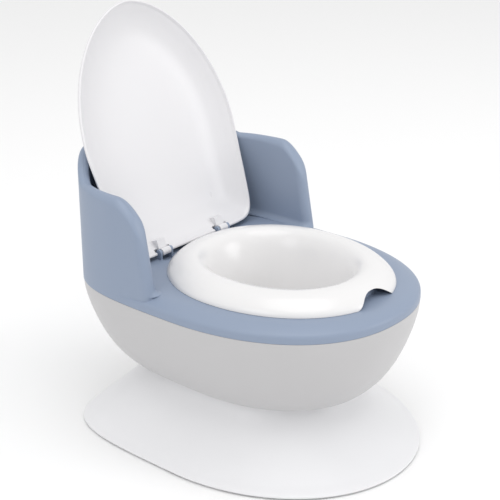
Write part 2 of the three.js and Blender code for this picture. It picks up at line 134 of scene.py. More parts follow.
# Inset from the lid's outline, then the depth behind the rim plane.
LID_BACK = [
    (1.2, 0), (0.2, 0.5), (0, 1.4), (0.6, 2.8), (5.5, 6.6), (11, 10.6), (18, 14.6), (27, 18), (40, 20.4),
    (62, 21.6), (85, 22),
]
LID_FACE = [
    (2.0, 0), (2.7, 0.6), (3.6, 2.4), (7.6, 5.4), (13, 9.3), (19.8, 13), (28.4, 16.1), (41, 18.3),
    (62, 19.3), (85, 19.6),
]
LID = dict(half=116.3, s=118.7, to_tip=160.1, to_hinge=118.7, tip_power=1.75, hinge_power=10.8)
LID_WIDENING = 0.12
LID_LEAN = math.radians(20.2)
LID_END = (95.1 + SHIFT, 193.4)
PIN_IN_LID = (2.0, 0.5)
HINGE_X = 48.0

# The backrest wall.
ARM_THICK, BACK_THICK = 17.0, 12.0
ARM_TOP, BACK_TOP = 286.0, 315.0
NOSE_Y = 30.0
NOSE_LEAN = 0.19
NOSE_TOE_IN = 3.0
NOSE_CORNER = 41.0
BACK_RISE = (136.0, 171.0)
PROUD = 0.35  # how far the wall's outer face stands proud of the seat's side

# Fasteners and hinges.
BOSS_RADIUS = 6.0
SCREW_HOLE_RADIUS = 2.5
PIN_RADIUS = 2.4
PIN_BORE_RADIUS = 2.48
EAR_RADIUS = 3.6
EAR_WIDTH = 3.0
EAR_OFFSET = 8.5  # middle of each ear, to either side of its hinge
LUG_RADIUS = 4.3
LUG_CLEARANCE = 6.4
FOOT_SCREWS = [(-52, -62), (52, -62), (-52, 58), (52, 58)]
SEAT_SCREW_ANGLES = [-128, -90, -52, 20, 160, 68, 112]
SEAT_SCREW_INSET = 19.0


# ---- Settings ----------------------------------------------------------------------------------


def linear(hex_colour):
    """A linear colour from an sRGB hex value."""
    parts = [int(hex_colour[i : i + 2], 16) / 255 for i in (1, 3, 5)]
    return [p / 12.92 if p <= 0.04045 else ((p + 0.055) / 1.055) ** 2.4 for p in parts]


class ChairSizes(bpy.types.PropertyGroup):
    around: IntProperty(
        name="Points around",
        description="Points round each moulding's outline",
        default=144,
        min=48,
        max=240,
    )
    fillet: FloatProperty(
        name="Backrest fillet",
        description="Radius of the fillet where the backrest stands on the seat",
        default=7 * MM,
        min=1 * MM,
        unit="LENGTH",
    )
    edge: FloatProperty(
        name="Edge radius",
        description="Width of the softened edges of the mouldings",
        default=0.7 * MM,
        min=0.1 * MM,
        unit="LENGTH",
    )
    pad_groove: FloatProperty(
        name="Pad groove",
        description="Depth of the groove in the sole of each rubber pad",
        default=1.0 * MM,
        min=0.0,
        unit="LENGTH",
    )


class ChairColours(bpy.types.PropertyGroup):
    foot: FloatVectorProperty(
        name="Foot white", description="Foot", subtype="COLOR", default=linear("#E6E6E8")
    )
    # The bowl's grey is painted shade for its undercut below the seat; its plastic is the foot's white.
    bowl: FloatVectorProperty(
        name="Bowl white", description="Bowl", subtype="COLOR", default=linear("#BFBEBF")
    )
    lid: FloatVectorProperty(
        name="Lid white", description="Lid", subtype="COLOR", default=linear("#E0DFE1")
    )
    potty: FloatVectorProperty(
        name="Potty white", description="Lift-out potty", subtype="COLOR", default=linear("#E4E3E3")
    )
    seat: FloatVectorProperty(
        name="Slate blue", description="Seat and backrest", subtype="COLOR", default=linear("#8B98AD")
    )
    rubber: FloatVectorProperty(
        name="Grey rubber", description="Foot pads", subtype="COLOR", default=linear("#9A9A9C")
    )


# ---- Materials ---------------------------------------------------------------------------------


def add_node(material, kind, settings=None, links=None):
    """Adds a node, sets its properties and inputs, and links its inputs from other nodes' outputs."""
    node = material.node_tree.nodes.new(kind)
    for name, value in (settings or {}).items():
        if name in node.inputs:
            node.inputs[name].default_value = value
        else:
            setattr(node, name, value)
    for name, source in (links or {}).items():
        material.node_tree.links.new(source, node.inputs[name])
    return node


def new_material(name):
    material = bpy.data.materials.new(name)
    material.use_nodes = True
    material.node_tree.nodes.clear()
    return material


def moulded_plastic(name, colour, roughness, grain, grain_depth, coat=0.0):
    """Injection-moulded polypropylene.

    The grain, in metres, is that of the spark-eroded or polished tool. A slow waviness of the surface
    gives the soft, slightly uneven reflections of a thin moulding, and the colour clouds very faintly.
    """
    material = new_material(name)
    place = add_node(material, "ShaderNodeTexCoord").outputs["Object"]
    cloud = add_node(
        material, "ShaderNodeTexNoise", {"Scale": 14.0, "Detail": 2.0, "Roughness": 0.5}, {"Vector": place}
    )
    tint = add_node(
        material,
        "ShaderNodeMix",
        {"data_type": "RGBA", "blend_type": "MIX"},
    )
    links = material.node_tree.links
    colour_inputs = [s for s in tint.inputs if s.type == "RGBA"]
    colour_inputs[0].default_value = (*[c * 0.975 for c in colour], 1)
    colour_inputs[1].default_value = (*colour, 1)
    links.new(cloud.outputs["Fac"], tint.inputs["Factor"])
    tinted = next(s for s in tint.outputs if s.type == "RGBA")
    fine = add_node(
        material,
        "ShaderNodeTexNoise",
        {"Scale": 1 / grain, "Detail": 3.0, "Roughness": 0.55},
        {"Vector": place},
    )
    gloss = add_node(
        material,
        "ShaderNodeMapRange",
        {"To Min": roughness - 0.03, "To Max": roughness + 0.05},
        {"Value": cloud.outputs["Fac"]},
    )
    waviness = add_node(
        material, "ShaderNodeTexNoise", {"Scale": 26.0, "Detail": 1.0}, {"Vector": place}
    )
    sink = add_node(
        material,
        "ShaderNodeBump",
        {"Strength": 0.25, "Distance": 0.25 * MM},
        {"Height": waviness.outputs["Fac"]},
    )
    skin = add_node(
        material,
        "ShaderNodeBump",
        {"Strength": 0.5, "Distance": grain_depth},
        {"Height": fine.outputs["Fac"], "Normal": sink.outputs["Normal"]},
    )
    shader = add_node(
        material,
        "ShaderNodeBsdfPrincipled",
        {"IOR": 1.49, "Coat Weight": coat, "Coat Roughness": 0.12},
        {"Base Color": tinted, "Roughness": gloss.outputs["Result"], "Normal": skin.outputs["Normal"]},
    )
    add_node(material, "ShaderNodeOutputMaterial", {}, {"Surface": shader.outputs["BSDF"]})
    return material


def moulded_rubber(name, colour):
    """Thermoplastic rubber, moulded: matt, with a fine pebble that breaks up every highlight."""
    material = new_material(name)
    place = add_node(material, "ShaderNodeTexCoord").outputs["Object"]
    pebble = add_node(
        material, "ShaderNodeTexVoronoi", {"Scale": 1 / (0.6 * MM)}, {"Vector": place}
    )
    dust = add_node(material, "ShaderNodeTexNoise", {"Scale": 90.0, "Detail": 4.0}, {"Vector": place})
    gloss = add_node(
        material,
        "ShaderNodeMapRange",
        {"To Min": 0.72, "To Max": 0.92},
        {"Value": dust.outputs["Fac"]},
    )
    bump = add_node(
        material,
        "ShaderNodeBump",
        {"Strength": 0.6, "Distance": 0.08 * MM},
        {"Height": pebble.outputs["Distance"]},
    )
    shader = add_node(
        material,
        "ShaderNodeBsdfPrincipled",
        {"IOR": 1.5, "Base Color": (*colour, 1)},
        {"Roughness": gloss.outputs["Result"], "Normal": bump.outputs["Normal"]},
    )
    add_node(material, "ShaderNodeOutputMaterial", {}, {"Surface": shader.outputs["BSDF"]})
    return material


def zinc_plated_steel(name):
    """Turned steel with bright zinc plating: fine rings from turning and faint cloudy patches."""
    material = new_material(name)
    place = add_node(material, "ShaderNodeTexCoord").outputs["Object"]
    turning = add_node(
        material,
        "ShaderNodeTexWave",
        {"Scale": 1 / (2 * MM), "Distortion": 1.5, "bands_direction": "X"},
        {"Vector": place},
    )
    cloud = add_node(material, "ShaderNodeTexNoise", {"Scale": 300.0, "Detail": 3.0}, {"Vector": place})
    gloss = add_node(
        material,
        "ShaderNodeMapRange",
        {"To Min": 0.24, "To Max": 0.42},
        {"Value": cloud.outputs["Fac"]},
    )
    bump = add_node(
        material,
        "ShaderNodeBump",
        {"Strength": 0.3, "Distance": 0.02 * MM},
        {"Height": turning.outputs["Fac"]},
    )
    shader = add_node(
        material,
        "ShaderNodeBsdfPrincipled",
        {"Metallic": 1.0, "Base Color": (*linear("#C6C9CC"), 1)},
        {"Roughness": gloss.outputs["Result"], "Normal": bump.outputs["Normal"]},
    )
    add_node(material, "ShaderNodeOutputMaterial", {}, {"Surface": shader.outputs["BSDF"]})
    return material


# Finishes are made once and shared by the pieces.
finishes = {}


def finish_named(name, make):
    if name not in finishes:
        finishes[name] = make()
    return finishes[name]


def foot_finish(context):
    # Satin white: a polished tool, faintly soft reflections.
    colour = context.scene.chair_colours.foot
    return finish_named(
        "moulded_white_foot",
        lambda: moulded_plastic("moulded_white_foot", colour, 0.34, 0.7 * MM, 0.012 * MM),
    )


def bowl_painted_shade_finish(context):
    # Greyer than the foot: the same white plastic with painted shade, which stands in for the shade on the
    # bowl's undercut below the seat's overhang and offsets the light that the pale floor throws up at the
    # bowl.
    colour = context.scene.chair_colours.bowl
    return finish_named(
        "white_bowl_with_painted_shade",
        lambda: moulded_plastic("white_bowl_with_painted_shade", colour, 0.36, 0.7 * MM, 0.012 * MM),
    )


def lid_finish(context):
    # The lid's tool is polished higher, so that it wipes clean.
    colour = context.scene.chair_colours.lid
    return finish_named(
        "polished_white_polypropylene",
        lambda: moulded_plastic("polished_white_polypropylene", colour, 0.28, 0.8 * MM, 0.008 * MM),
    )


def potty_finish(context):
    # The potty is the glossiest moulding.
    colour = context.scene.chair_colours.potty
    return finish_named(
        "glossy_white_polypropylene",
        lambda: moulded_plastic("glossy_white_polypropylene", colour, 0.22, 0.9 * MM, 0.006 * MM, 0.15),
    )


def seat_finish(context):
    # Slate blue with a fine spark-eroded grain, which spreads the highlights.
    colour = context.scene.chair_colours.seat
    return finish_named(
        "grained_blue_polypropylene",
        lambda: moulded_plastic("grained_blue_polypropylene", colour, 0.42, 0.6 * MM, 0.02 * MM),
    )


def rubber_finish(context):
    colour = context.scene.chair_colours.rubber
    return finish_named(
        "moulded_grey_rubber", lambda: moulded_rubber("moulded_grey_rubber", colour)
    )


def steel_finish(context):
    return finish_named("zinc_plated_steel", lambda: zinc_plated_steel("zinc_plated_steel"))


# ---- Outlines ----------------------------------------------------------------------------------


def power(value, exponent):
    return math.copysign(abs(value) ** exponent, value)


def mix(a, b, share):
    return a + (b - a) * share


def smooth(share):
    t = min(1.0, max(0.0, share))
    return t * t * (3 - 2 * t)


def between(a, b, share):
    return {key: mix(a[key], b[key], share) for key in a}


def plan_point(outline, angle, z, inset=0.0):
    """A point of a plan outline, in metres, pulled in by an inset in millimetres."""
    front = math.sin(angle) < 0
    exponent = 2 / (outline["front_power"] if front else outline["rear_power"])
    length = (outline["front"] if front else outline["rear"]) - inset
    x = (outline["half"] - inset) * power(math.cos(angle), exponent)
    y = outline["y"] + length * power(math.sin(angle), exponent)
    return Vector((x, y + SHIFT, z)) * MM


def angles(count):
    """Evenly spaced angles round an outline, half a step off its axes."""
    return [2 * math.pi * (i + 0.5) / count for i in range(count)]


def ring(outline, z, count, inset=0.0):
    return [plan_point(outline, a, z, inset) for a in angles(count)]


def eased(profile, steps=4):
    """A profile's points with a smooth curve drawn through them."""
    made = []
    for i in range(len(profile) - 1):
        before = profile[max(i - 1, 0)]
        start, end = profile[i], profile[i + 1]
        after = profile[min(i + 2, len(profile) - 1)]
        for k in range(steps):
            t = k / steps
            made.append(tuple(catmull(p, t) for p in zip(before, start, end, after)))
    return made + [tuple(profile[-1])]


def catmull(values, t):
    a, b, c, d = values
    return 0.5 * (2 * b + (c - a) * t + (2 * a - 5 * b + 4 * c - d) * t**2 + (3 * b - a - 3 * c + d) * t**3)


# ---- Modelling ---------------------------------------------------------------------------------


def deselect_all():
    for o in bpy.context.selected_objects:
        o.select_set(False)


def only(piece):
    deselect_all()
    piece.select_set(True)
    bpy.context.view_layer.objects.active = piece


def shape_loop(piece, order, points):
    """Moves the selected loop to a section's points, and says which corner is which."""
    mesh = bmesh.from_edit_mesh(piece.data)
    chosen = [(v, order[tuple(v.co)]) for v in mesh.verts if v.select]
    for v, i in chosen:
        v.co = points[i]
    placed = {tuple(v.co): i for v, i in chosen}
    bmesh.update_edit_mesh(piece.data)
    return placed


def lofted(name, sections, looped=False):
    """A closed skin: a circle, extruded once for each section and shaped to it, then closed."""
    deselect_all()
    bpy.ops.mesh.primitive_circle_add(vertices=len(sections[0]), radius=1.0)
    piece = bpy.context.object
    piece.name = piece.data.name = name
    bpy.ops.object.mode_set(mode="EDIT")
    bpy.ops.mesh.select_mode(type="VERT")
    bpy.ops.mesh.select_all(action="SELECT")
    mesh = bmesh.from_edit_mesh(piece.data)
    order = {tuple(v.co): i for i, v in enumerate(mesh.verts)}
    order = shape_loop(piece, order, sections[0])
    for section in sections[1:] + ([sections[0]] if looped else []):
        bpy.ops.mesh.extrude_region_move()
        order = shape_loop(piece, order, section)
    bpy.ops.mesh.select_all(action="SELECT")
    bpy.ops.mesh.remove_doubles(threshold=1e-6)
    if not looped:
        bpy.ops.mesh.fill_holes(sides=0)
        bpy.ops.mesh.select_all(action="SELECT")
    bpy.ops.mesh.normals_make_consistent(inside=False)
    bpy.ops.object.mode_set(mode="OBJECT")
    return piece


def in_edit_mode(piece):
    only(piece)
    bpy.ops.object.mode_set(mode="EDIT")
    bpy.ops.mesh.select_all(action="SELECT")


def settle(piece):
    """Puts the piece's place into its mesh, with its object at the origin."""
    only(piece)
    bpy.ops.object.transform_apply(location=True, rotation=True, scale=True)


def rod(name, radius, length, centre, sides=48, axis="Z", edge=0.0):
    """A round bar, its ends softened, as a mesh in its place."""
    turn = {"X": (0, math.pi / 2, 0), "Y": (math.pi / 2, 0, 0), "Z": (0, 0, 0)}[axis]
    deselect_all()
    bpy.ops.mesh.primitive_cylinder_add(
        vertices=sides, radius=radius, depth=length, location=centre, rotation=turn
    )
    piece = bpy.context.object
    piece.name = piece.data.name = name
    settle(piece)
    if edge:
        soften(piece, edge, 3)
    return piece


def block(name, low, high):
    deselect_all()
    bpy.ops.mesh.primitive_cube_add(size=1.0, location=(Vector(low) + Vector(high)) / 2)
    piece = bpy.context.object
    piece.name = piece.data.name = name
    piece.scale = Vector(high) - Vector(low)
    settle(piece)
    return piece


def soften(piece, width, segments=2, angle=40):
    """Rounds the sharp edges."""
    only(piece)
    bevel = piece.modifiers.new("Softened edges", "BEVEL")
    bevel.width = width
    bevel.segments = segments
    bevel.limit_method = "ANGLE"
    bevel.angle_limit = math.radians(angle)
    bevel.miter_outer = "MITER_ARC"
    bpy.ops.object.modifier_apply(modifier=bevel.name)


def combine(piece, others, operation):
    """Joins the others to the piece, cuts it with them, or keeps what they share with it."""
    only(others[0])
    for other in others[1:]:
        other.select_set(True)
    if len(others) > 1:
        bpy.ops.object.join()
    tool = bpy.context.view_layer.objects.active
    only(piece)
    modifier = piece.modifiers.new("Combined", "BOOLEAN")
    modifier.object = tool
    modifier.operation = operation
    modifier.solver = "EXACT"
    bpy.ops.object.modifier_apply(modifier=modifier.name)
    bpy.data.objects.remove(tool, do_unlink=True)
    if not piece.data.vertices:
        raise RuntimeError(f"nothing is left of {piece.name}")


def hand_over(piece, body, nodes, material, angle=38):
    """Gives a finished piece its finish, its body and the CAD nodes that it stands for."""
    only(piece)
    piece.data.materials.clear()
    piece.data.materials.append(material)
    bpy.ops.object.shade_smooth_by_angle(angle=math.radians(angle))
    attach(piece, body)
    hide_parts(*nodes)
    return piece


# ---- Pieces ------------------------------------------------------------------------------------


def foot_section(z, front_share, rear_share, count, inset=0.0, drop=0.0):
    points = []
    for angle in angles(count):
        rearness = smooth((math.sin(angle) + 0.2) / 0.8)
        outline = between(FOOT_EDGE, NECK, mix(front_share, rear_share, rearness))
        points.append(plan_point(outline, angle, max(FOOT_PROFILE[0][0], z - drop), inset))
    return points


class CHAIR_OT_foot(bpy.types.Operator):
    """Flared pedestal foot, a thin shell open below"""

    bl_idname = "chair.foot"
    bl_label = "Foot"

    def execute(self, context):
        sizes = context.scene.chair_sizes
        count = sizes.around
        wall = SHELL_WALL
        profile = FOOT_PROFILE[:1] + eased(FOOT_PROFILE[1:], 3)
        outer = [foot_section(z, f, r, count) for z, f, r in profile]
        inner = [foot_section(z, f, r, count, wall, wall) for z, f, r in profile]
        top = [ring(between(NECK, CROWN, share), FOOT_TOP, count) for share in (1, 0.3)]
        ceiling = [ring(between(NECK, CROWN, share), FOOT_TOP - wall, count) for share in (0.3, 1)]
        piece = lofted("foot_shell", top + outer[::-1] + inner + ceiling)
        soften(piece, sizes.edge, 2, 50)
        low = FOOT_TOP - 8
        holes = [
            rod("hole", SCREW_HOLE_RADIUS * MM, 10 * MM, Vector((x, y + SHIFT, low + 5)) * MM, 24)
            for x, y in FOOT_SCREWS
        ]
        combine(piece, holes, "DIFFERENCE")
        hand_over(piece, "base", ["pedestal_foot"], foot_finish(context))
        return {"FINISHED"}


class CHAIR_OT_bowl(bpy.types.Operator):
    """Egg-shaped bowl shell with bosses for the foot screws"""

    bl_idname = "chair.bowl"
    bl_label = "Bowl"

    def execute(self, context):
        sizes = context.scene.chair_sizes
        count = sizes.around
        wall = SHELL_WALL
        floor = FOOT_TOP + GAP
        profile = eased(BOWL_PROFILE, 4)
        outer = [ring(between(BORDER, WAIST, share), z, count) for share, z in profile]
        inner = [
            ring(between(BORDER, WAIST, share), max(z, floor + wall + 4), count, wall)
            for share, z in profile
        ]
        sections = [
            *outer,
            ring(WAIST, 69.2, count, 1.4),
            ring(WAIST, 68.5, count, 2.8),
            ring(WAIST, floor, count, 4.5),
            ring(BOWL_HOLE, floor, count),
            ring(BOWL_HOLE, floor + wall, count),
            ring(WAIST, floor + wall, count, 9),
            *inner[::-1],
        ]
        kept = [s for i, s in enumerate(sections) if i == 0 or (s[0] - sections[i - 1][0]).length > 1e-5]
        piece = lofted("bowl_shell_skin", kept, looped=True)
        bosses, holes = [], []
        for x, y in FOOT_SCREWS:
            foot = Vector((x, y + SHIFT, floor)) * MM
            bosses.append(rod("boss", BOSS_RADIUS * MM, 14 * MM, foot + Vector((0, 0, 8.9 * MM)), 40))
            holes.append(rod("hole", SCREW_HOLE_RADIUS * MM, 14 * MM, foot + Vector((0, 0, 6 * MM)), 24))
        combine(piece, bosses, "UNION")
        combine(piece, holes, "DIFFERENCE")
        hand_over(piece, "base", ["bowl_shell"], bowl_painted_shade_finish(context))
        return {"FINISHED"}


def wall_path():
    """Where the backrest wall runs: a function from a distance along it to a point and its outward side."""
    nose = math.asin(((NOSE_Y - BORDER["y"]) / BORDER["rear"]) ** (BORDER["rear_power"] / 2))
    fine = 1440
    points = [plan_point(BORDER, mix(math.pi - nose, nose, i / fine), 0) / MM for i in range(fine + 1)]
    runs = [0.0]
    for a, b in zip(points, points[1:]):
        runs.append(runs[-1] + (b - a).length)

    def at(run):
        i = min(max(next((k for k, v in enumerate(runs) if v >= run), fine), 1), fine)
        share = (run - runs[i - 1]) / (runs[i] - runs[i - 1])
        along = (points[min(i + 3, fine)] - points[max(i - 4, 0)]).normalized()
        return points[i - 1].lerp(points[i], share), Vector((-along.y, along.x, 0))

    return runs[-1], at


def wall_stations(total, radius):
    """Where the wall's outline has points: a place along it and a turn about the nearer nose's middle.

    The turn is 90 degrees on the outer side and -90 on the inner side, and sweeps round at a nose.
    """
    corner = [radius + (NOSE_CORNER + 16) * (i / 14) ** 1.3 for i in range(14)]
    middle = [mix(corner[-1] + 6, total / 2, i / 44) for i in range(45)]
    half = corner + middle
    side = half + [total - run for run in half[-2::-1]]
    nose = [math.pi / 2 * (1 - i / 9) for i in range(1, 18)]
    outline = [(run, math.pi / 2) for run in side]
    outline += [(total - radius, turn) for turn in nose]
    outline += [(run, -math.pi / 2) for run in side[::-1]]
    outline += [(radius, turn) for turn in nose[::-1]]
    return outline


def wall_skin(name, bottom, fillet, shrink=0.0):
    """The backrest wall as one skin, its noses round and its top rolled over.

    shrink takes that much off every outer face, which makes the wall's own hollow.
    """
    total, at = wall_path()
    nose_radius = ARM_THICK / 2
    outline = wall_stations(total, nose_radius)

    def place(run, turn, height, spread, extra):
        # height goes from 0 at the bottom to 1 where the roll starts; spread is the share of thickness.
        middle, outward = at(run)
        thick = mix(ARM_THICK, BACK_THICK, smooth((middle.y - SHIFT - 70) / 60))
        radius = thick / 2 - shrink
        reach = radius * spread + extra * smooth(0.38 - 0.62 * math.sin(turn))
        at_nose = abs(turn) < math.pi / 2 - 1e-6
        ahead = reach * math.cos(turn) if at_nose else 0.0
        from_nose = min(run, total - run) - ahead
        corner_run = max(0.0, from_nose - shrink)
        corner = 0.0
        if corner_run < NOSE_CORNER:
            corner = NOSE_CORNER - math.sqrt(NOSE_CORNER**2 - (NOSE_CORNER - corner_run) ** 2)
        rise = smooth((middle.y - SHIFT - BACK_RISE[0]) / (BACK_RISE[1] - BACK_RISE[0]))
        top = mix(ARM_TOP, BACK_TOP, rise) - corner - shrink
        toe_in = NOSE_TOE_IN * (1 - smooth(from_nose / 60))
        along = Vector((outward.y, -outward.x, 0))
        forward = -along if run < total / 2 else along
        centre = middle - outward * (thick / 2 - PROUD + toe_in)
        point = centre + outward * reach * math.sin(turn) + forward * ahead
        z = height(top, radius)
        lean = NOSE_LEAN * (1 - smooth(from_nose / 75)) * max(0.0, z - SEAT_TOP)
        return Vector((point.x, point.y + lean, z)) * MM

    levels = [(lambda top, r: bottom, 1.0, 0.0)]
    if fillet:
        levels.append((lambda top, r: SEAT_TOP - 1.6, 1.0, 0.0))
        levels.append((lambda top, r: SEAT_TOP - 1.0, 1.0, fillet))
        for i in range(9):
            a = math.pi / 2 * i / 8
            levels.append(
                (lambda top, r, a=a: SEAT_TOP + fillet * (1 - math.cos(a)), 1.0, fillet * (1 - math.sin(a)))
            )
    base = SEAT_TOP + fillet
    for i in range(1, 15):
        levels.append((lambda top, r, t=i / 14: mix(base, top - r, t), 1.0, 0.0))
    for i in range(1, 9):
        a = math.pi / 2 * i / 8
        spread = max(math.cos(a), 0.012)
        levels.append((lambda top, r, a=a: top - r + r * math.sin(a), spread, 0.0))
    sections = [[place(run, turn, *level) for run, turn in outline] for level in levels]
    return lofted(name, sections)



def lid_place(s, h):
    """Y and Z, in millimetres, of a point of the open lid's side view."""
    forward = (math.sin(LID_LEAN), math.cos(LID_LEAN))
    return (
        LID_END[0] + s * forward[0] + h * forward[1],
        LID_END[1] + s * forward[1] - h * forward[0],
    )


PIN_Y, PIN_Z = lid_place(*PIN_IN_LID)


class CHAIR_OT_housing(bpy.types.Operator):
    """Seat ring with its wrap-around backrest, one hollow moulding"""

    bl_idname = "chair.housing"
    bl_label = "Seat and backrest"

    def execute(self, context):
        sizes = context.scene.chair_sizes
        count = sizes.around
        profile = SEAT_SIDE[:-1] + eased(SEAT_ROLL, 3) + SEAT_COLLAR + SEAT_UNDER
        sections = [ring(between(BORDER, OPENING, share), z, count) for share, z in profile]
        piece = lofted("seat_and_backrest", sections, looped=True)
        combine(piece, [wall_skin("wall", 173.0, sizes.fillet / MM)], "UNION")
        combine(piece, [wall_skin("hollow", BOWL_TOP - 12, 0.0, SHELL_WALL)], "DIFFERENCE")
        notches, ears, holes, bosses = [], [], [], []
        for side in (-1, 1):
            x = side * HINGE_X
            notches.append(
                block(
                    "notch",
                    Vector((x - 7, PIN_Y - 9, SEAT_TOP - 2)) * MM,
                    Vector((x + 7, PIN_Y + 9, SEAT_TOP + 1)) * MM,
                )
            )
            for cheek in (-1, 1):
                middle = x + cheek * EAR_OFFSET
                pin = Vector((middle, PIN_Y, PIN_Z)) * MM
                knuckle = rod("ear", EAR_RADIUS * MM, EAR_WIDTH * MM, pin, 48, "X")
                stem = block(
                    "stem",
                    Vector((middle - EAR_WIDTH / 2, PIN_Y - EAR_RADIUS, SEAT_TOP - 2)) * MM,
                    Vector((middle + EAR_WIDTH / 2, PIN_Y + EAR_RADIUS, PIN_Z)) * MM,
                )
                combine(knuckle, [stem], "UNION")
                ears.append(knuckle)
            centre = Vector((x, PIN_Y, PIN_Z)) * MM
            holes.append(rod("bore", PIN_BORE_RADIUS * MM, 19 * MM, centre, 32, "X"))
        for degrees in SEAT_SCREW_ANGLES:
            foot = plan_point(BORDER, math.radians(degrees), 0, SEAT_SCREW_INSET)
            boss_middle = foot + Vector((0, 0, 167.75 * MM))
            hole_middle = foot + Vector((0, 0, 158.5 * MM))
            bosses.append(rod("boss", BOSS_RADIUS * MM, 35.5 * MM, boss_middle, 32))
            holes.append(rod("hole", SCREW_HOLE_RADIUS * MM, 19 * MM, hole_middle, 24))
        combine(piece, notches, "DIFFERENCE")
        combine(piece, ears, "UNION")
        combine(piece, bosses, "UNION")
        combine(piece, holes, "DIFFERENCE")
        hand_over(piece, "base", ["seat_housing"], seat_finish(context), 42)
        return {"FINISHED"}


def notch_cutter(front, rear):
    """The finger notch as a solid to cut with: a low arch with flared feet, from front to rear."""
    arch = []
    for step in range(49):
        across = step / 24 - 1
        rise = max(0.0, 1 - abs(across) ** 2.4) ** 1.5
        arch.append((NOTCH_HALF * across, SEAT_TOP + NOTCH_HEIGHT * rise - 0.01))
    outline = [(-NOTCH_HALF, SEAT_TOP - 8), *arch, (NOTCH_HALF, SEAT_TOP - 8)]
    return lofted("notch", [[Vector((x, y, z)) * MM for x, z in outline] for y in (front, rear)])


class CHAIR_OT_potty(bpy.types.Operator):
    """Lift-out potty with a rolled rim and a finger notch at its front"""

    bl_idname = "chair.potty"
    bl_label = "Potty"

    def execute(self, context):
        sizes = context.scene.chair_sizes
        count = sizes.around

        def skirt(inset, z):
            return ring(between(SKIRT, POTTY_FLOOR, inset / 71.6), z, count)

        centre = [skirt(104, 96.6), skirt(90, 96.6)]
        crest = eased(POTTY_CREST, 4)
        under = eased(POTTY_UNDER, 4)
        sections = centre + [skirt(*p) for p in crest[::-1]] + [skirt(*p) for p in under[::-1]]
        sections += [skirt(92, 94), skirt(104, 94)]
        piece = lofted("lift_out_potty", sections)
        front = SKIRT["y"] - SKIRT["front"] + SHIFT
        combine(piece, [notch_cutter(front - 20, front + NOTCH_DEPTH)], "DIFFERENCE")
        hand_over(piece, "potty", ["potty_bowl"], potty_finish(context))
        return {"FINISHED"}


def lid_section(inset, depth, count):
    points = []
    for angle in angles(count):
        tipwards = math.sin(angle) >= 0
        exponent = 2 / (LID["tip_power"] if tipwards else LID["hinge_power"])
        length = (LID["to_tip"] if tipwards else LID["to_hinge"]) - inset
        s = LID["s"] + length * power(math.sin(angle), exponent)
        half = (LID["half"] - inset) * (1 + LID_WIDENING * (s - LID["s"]) / LID["to_tip"])
        y, z = lid_place(s, depth)
        points.append(Vector((half * power(math.cos(angle), exponent), y, z)) * MM)
    return points


class CHAIR_OT_lid(bpy.types.Operator):
    """Dished lid with two hinge lugs"""

    bl_idname = "chair.lid"
    bl_label = "Lid"

    def execute(self, context):
        count = context.scene.chair_sizes.around
        back = LID_BACK[:3] + eased(LID_BACK[3:], 3)
        face = LID_FACE[:2] + eased(LID_FACE[2:], 3)
        sections = [lid_section(i, d, count) for i, d in back[::-1] + face]
        piece = lofted("dished_lid", sections)
        clearances, lugs, bores, arms = [], [], [], []
        for side in (-1, 1):
            pin = Vector((side * HINGE_X, PIN_Y, PIN_Z)) * MM
            clearances.append(rod("clearance", LUG_CLEARANCE * MM, 24 * MM, pin, 56, "X"))
            lugs.append(rod("knuckle", LUG_RADIUS * MM, 12.4 * MM, pin, 48, "X"))
            bores.append(rod("bore", PIN_BORE_RADIUS * MM, 15 * MM, pin, 32, "X"))
            arm = block("arm", Vector((-6.2, 1.5, 2)) * MM, Vector((6.2, 17.5, 14)) * MM)
            arm.data.transform(Matrix.Translation(pin) @ Matrix.Rotation(-LID_LEAN, 4, "X"))
            arms.append(arm)
        envelope = lofted("envelope", [lid_section(i + 0.2, d, count) for i, d in back])
        combine(envelope, arms, "INTERSECT")
        combine(piece, clearances, "DIFFERENCE")
        combine(piece, lugs, "UNION")
        combine(piece, [envelope], "UNION")
        combine(piece, bores, "DIFFERENCE")
        hand_over(piece, "lid", ["lid"], lid_finish(context))
        return {"FINISHED"}


class CHAIR_OT_hinge_pins(bpy.types.Operator):
    """Two steel pins that the lid turns on"""

    bl_idname = "chair.hinge_pins"
    bl_label = "Hinge pins"

    def execute(self, context):
        for side, name in ((-1, "left"), (1, "right")):
            centre = Vector((side * HINGE_X, PIN_Y, PIN_Z)) * MM
            pin = rod("turned_pin_" + name, PIN_RADIUS * MM, 18.4 * MM, centre, 40, "X", 0.4 * MM)
            hand_over(pin, "base", ["hinge_pin_" + name], steel_finish(context))
        return {"FINISHED"}


class CHAIR_OT_screws(bpy.types.Operator):
    """Screws that hold the foot to the bowl and the bowl to the seat"""

    bl_idname = "chair.screws"
    bl_label = "Screws"

    def execute(self, context):
        places = {}
        for i, (x, y) in enumerate(FOOT_SCREWS):
            bearing = FOOT_TOP - 3 - GAP
            places[f"foot_screw_{i + 1}"] = (Vector((x, y + SHIFT, bearing)) * MM, 15 * MM)
        for i, degrees in enumerate(SEAT_SCREW_ANGLES):
            at = plan_point(BORDER, math.radians(degrees), 145.4, SEAT_SCREW_INSET)
            places[f"seat_screw_{i + 1}"] = (at, 20 * MM)
        for node, (bearing, length) in places.items():
            screw = self.screw("pan_head_" + node, bearing, length)
            hand_over(screw, "base", [node], steel_finish(context), 30)
        return {"FINISHED"}

    def screw(self, name, bearing, length):
        """A pan-head screw, head down, drawn from its head's face: socket, crown, shank and point."""
        head = [(1.4, -0.9), (1.4, -2.5), (2.9, -2.6), (3.6, -2.3), (4, -1.5), (4, 0), (2, 0), (2, 0.4)]
        ridges = [(2 - 0.35 * (k % 2), 1 + 0.5 * k) for k in range(int((length / MM - 4) * 2))]
        point = [(1.6, length / MM - 1.6), (0.4, length / MM)]
        sections = [
            [
                bearing + Vector((math.cos(a) * r, math.sin(a) * r, z)) * MM
                for a in angles(24)
            ]
            for r, z in head + ridges + point
        ]
        return lofted(name, sections)


